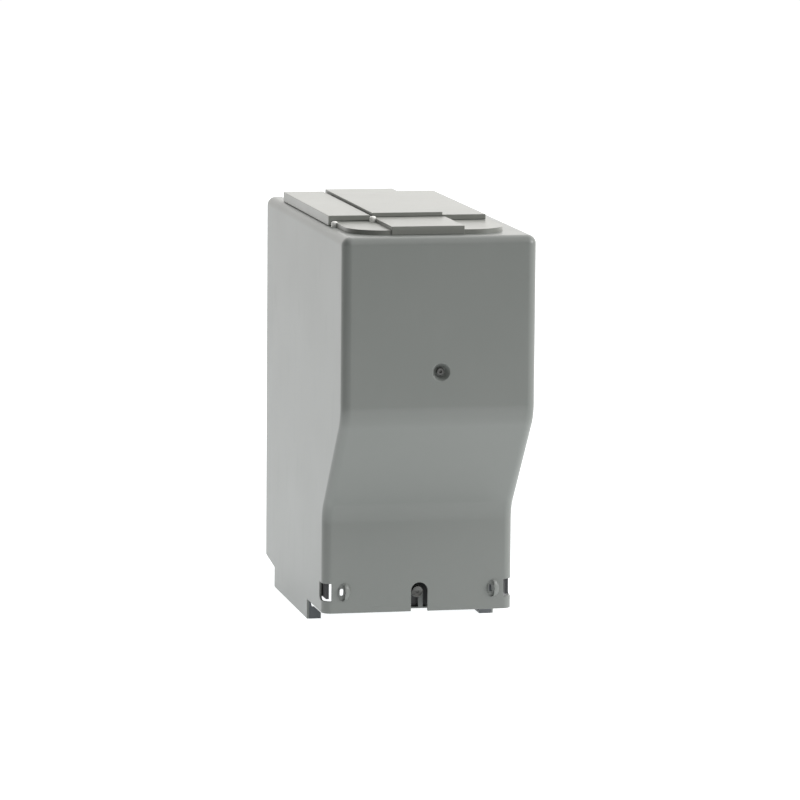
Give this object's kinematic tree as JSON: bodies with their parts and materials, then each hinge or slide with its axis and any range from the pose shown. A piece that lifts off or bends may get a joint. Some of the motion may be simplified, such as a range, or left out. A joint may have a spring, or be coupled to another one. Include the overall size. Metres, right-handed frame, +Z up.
{
  "type": "meter socket enclosure",
  "caption": "Deep grey sealable meter socket enclosure: sloped one-piece cover over a wall chassis, sliding top entry shutters, seal screws, corner latches and open back and base.",
  "frame": {"origin": "centre of the footprint box, on the surface that the cover's side tongues stand on", "axes": "+X to the right seen from the front, +Y back towards the wall, +Z up"},
  "size_m": [0.2, 0.42, 0.433],
  "materials": {
    "cover_plastic": "fine moulded grain, semi-matt grey",
    "entry_plastic": "fine moulded grain, semi-matt grey",
    "keeper_plastic": "dark grey moulding",
    "dark_foot": "dark slate moulding",
    "nylon": "natural white nylon",
    "seal_steel": "machined steel, zinc plated",
    "spring_steel": "blued spring steel",
    "post_plastic": "grey moulding",
    "zinc_sheet": "zinc-plated sheet with faint spangle",
    "dark_sheet": "dark powder coat",
    "zinc_steel": "zinc-plated fasteners",
    "latch_plastic": "dark glass-filled nylon",
    "insulator": "black moulded phenolic",
    "barrier_sheet": "tan insulating sheet",
    "jaw_copper": "tin-washed copper, bright at the contact faces",
    "lug_alloy": "extruded alloy with a tinned finish",
    "ground_green": "green dyed zinc screw"
  },
  "bodies": {
    "chassis": {"back_plate": "zinc_sheet", "left_arm": "dark_sheet", "right_arm": "dark_sheet", "cross_bar": "dark_sheet", "arm_rivets": "zinc_steel", "seal_post": "zinc_sheet", "lower_post": "post_plastic", "latch_pins": "zinc_steel", "latch_springs": "spring_steel", "socket_block": "insulator", "block_screws": "zinc_steel", "phase_barriers": "barrier_sheet", "left_line_jaw": "jaw_copper", "right_line_jaw": "jaw_copper", "left_load_jaw": "jaw_copper", "right_load_jaw": "jaw_copper", "jaw_springs": "spring_steel", "line_lugs": "lug_alloy", "load_lugs": "lug_alloy", "lug_screws": "zinc_steel", "neutral_insulator": "insulator", "neutral_bar": "lug_alloy", "neutral_screws": "zinc_steel", "ground_lug": "lug_alloy", "ground_screw": "ground_green"},
    "cover": {"cover_shell": "cover_plastic", "left_foot": "dark_foot", "right_foot": "dark_foot", "entry_plate": "entry_plastic", "guide_tongue": "entry_plastic", "stop_studs": "nylon"},
    "left_shutter": {"left_shutter": "entry_plastic", "left_keeper": "keeper_plastic"},
    "right_shutter": {"right_shutter": "entry_plastic", "right_keeper": "keeper_plastic"},
    "centre_screw": {"centre_seal_screw": "seal_steel", "centre_clip": "spring_steel"},
    "lower_screw": {"lower_seal_screw": "seal_steel"},
    "left_latch": {"left_latch": "latch_plastic"},
    "right_latch": {"right_latch": "latch_plastic"}
  },
  "joints": [
    {"name": "cover_slide", "type": "slide", "parent": "chassis", "child": "cover", "axis": [0, -1, 0], "range_m": [0, 0.43]},
    {"name": "left_shutter_slide", "type": "slide", "parent": "cover", "child": "left_shutter", "axis": [0, 1, 0], "range_m": [-0.006, 0.05]},
    {"name": "right_shutter_slide", "type": "slide", "parent": "cover", "child": "right_shutter", "axis": [0, 1, 0], "range_m": [-0.006, 0.05]},
    {"name": "left_latch_hinge", "type": "hinge", "parent": "chassis", "child": "left_latch", "pos_m": [-0.092, -0.08, 0.045], "axis": [0, 0, 1], "range_deg": [0, 8], "stiffness_Nm_per_rad": 0.2, "springref_deg": -5.73},
    {"name": "right_latch_hinge", "type": "hinge", "parent": "chassis", "child": "right_latch", "pos_m": [0.092, -0.08, 0.045], "axis": [0, 0, -1], "range_deg": [0, 8], "stiffness_Nm_per_rad": 0.2, "springref_deg": -5.73},
    {"name": "centre_screw_turn", "type": "hinge", "parent": "cover", "child": "centre_screw", "pos_m": [0.0016, -0.205, 0.283], "axis": [0, 1, 0], "continuous": true},
    {"name": "lower_screw_turn", "type": "hinge", "parent": "chassis", "child": "lower_screw", "pos_m": [0.0016, -0.1, 0.04], "axis": [0, 1, 0], "continuous": true}
  ]
}
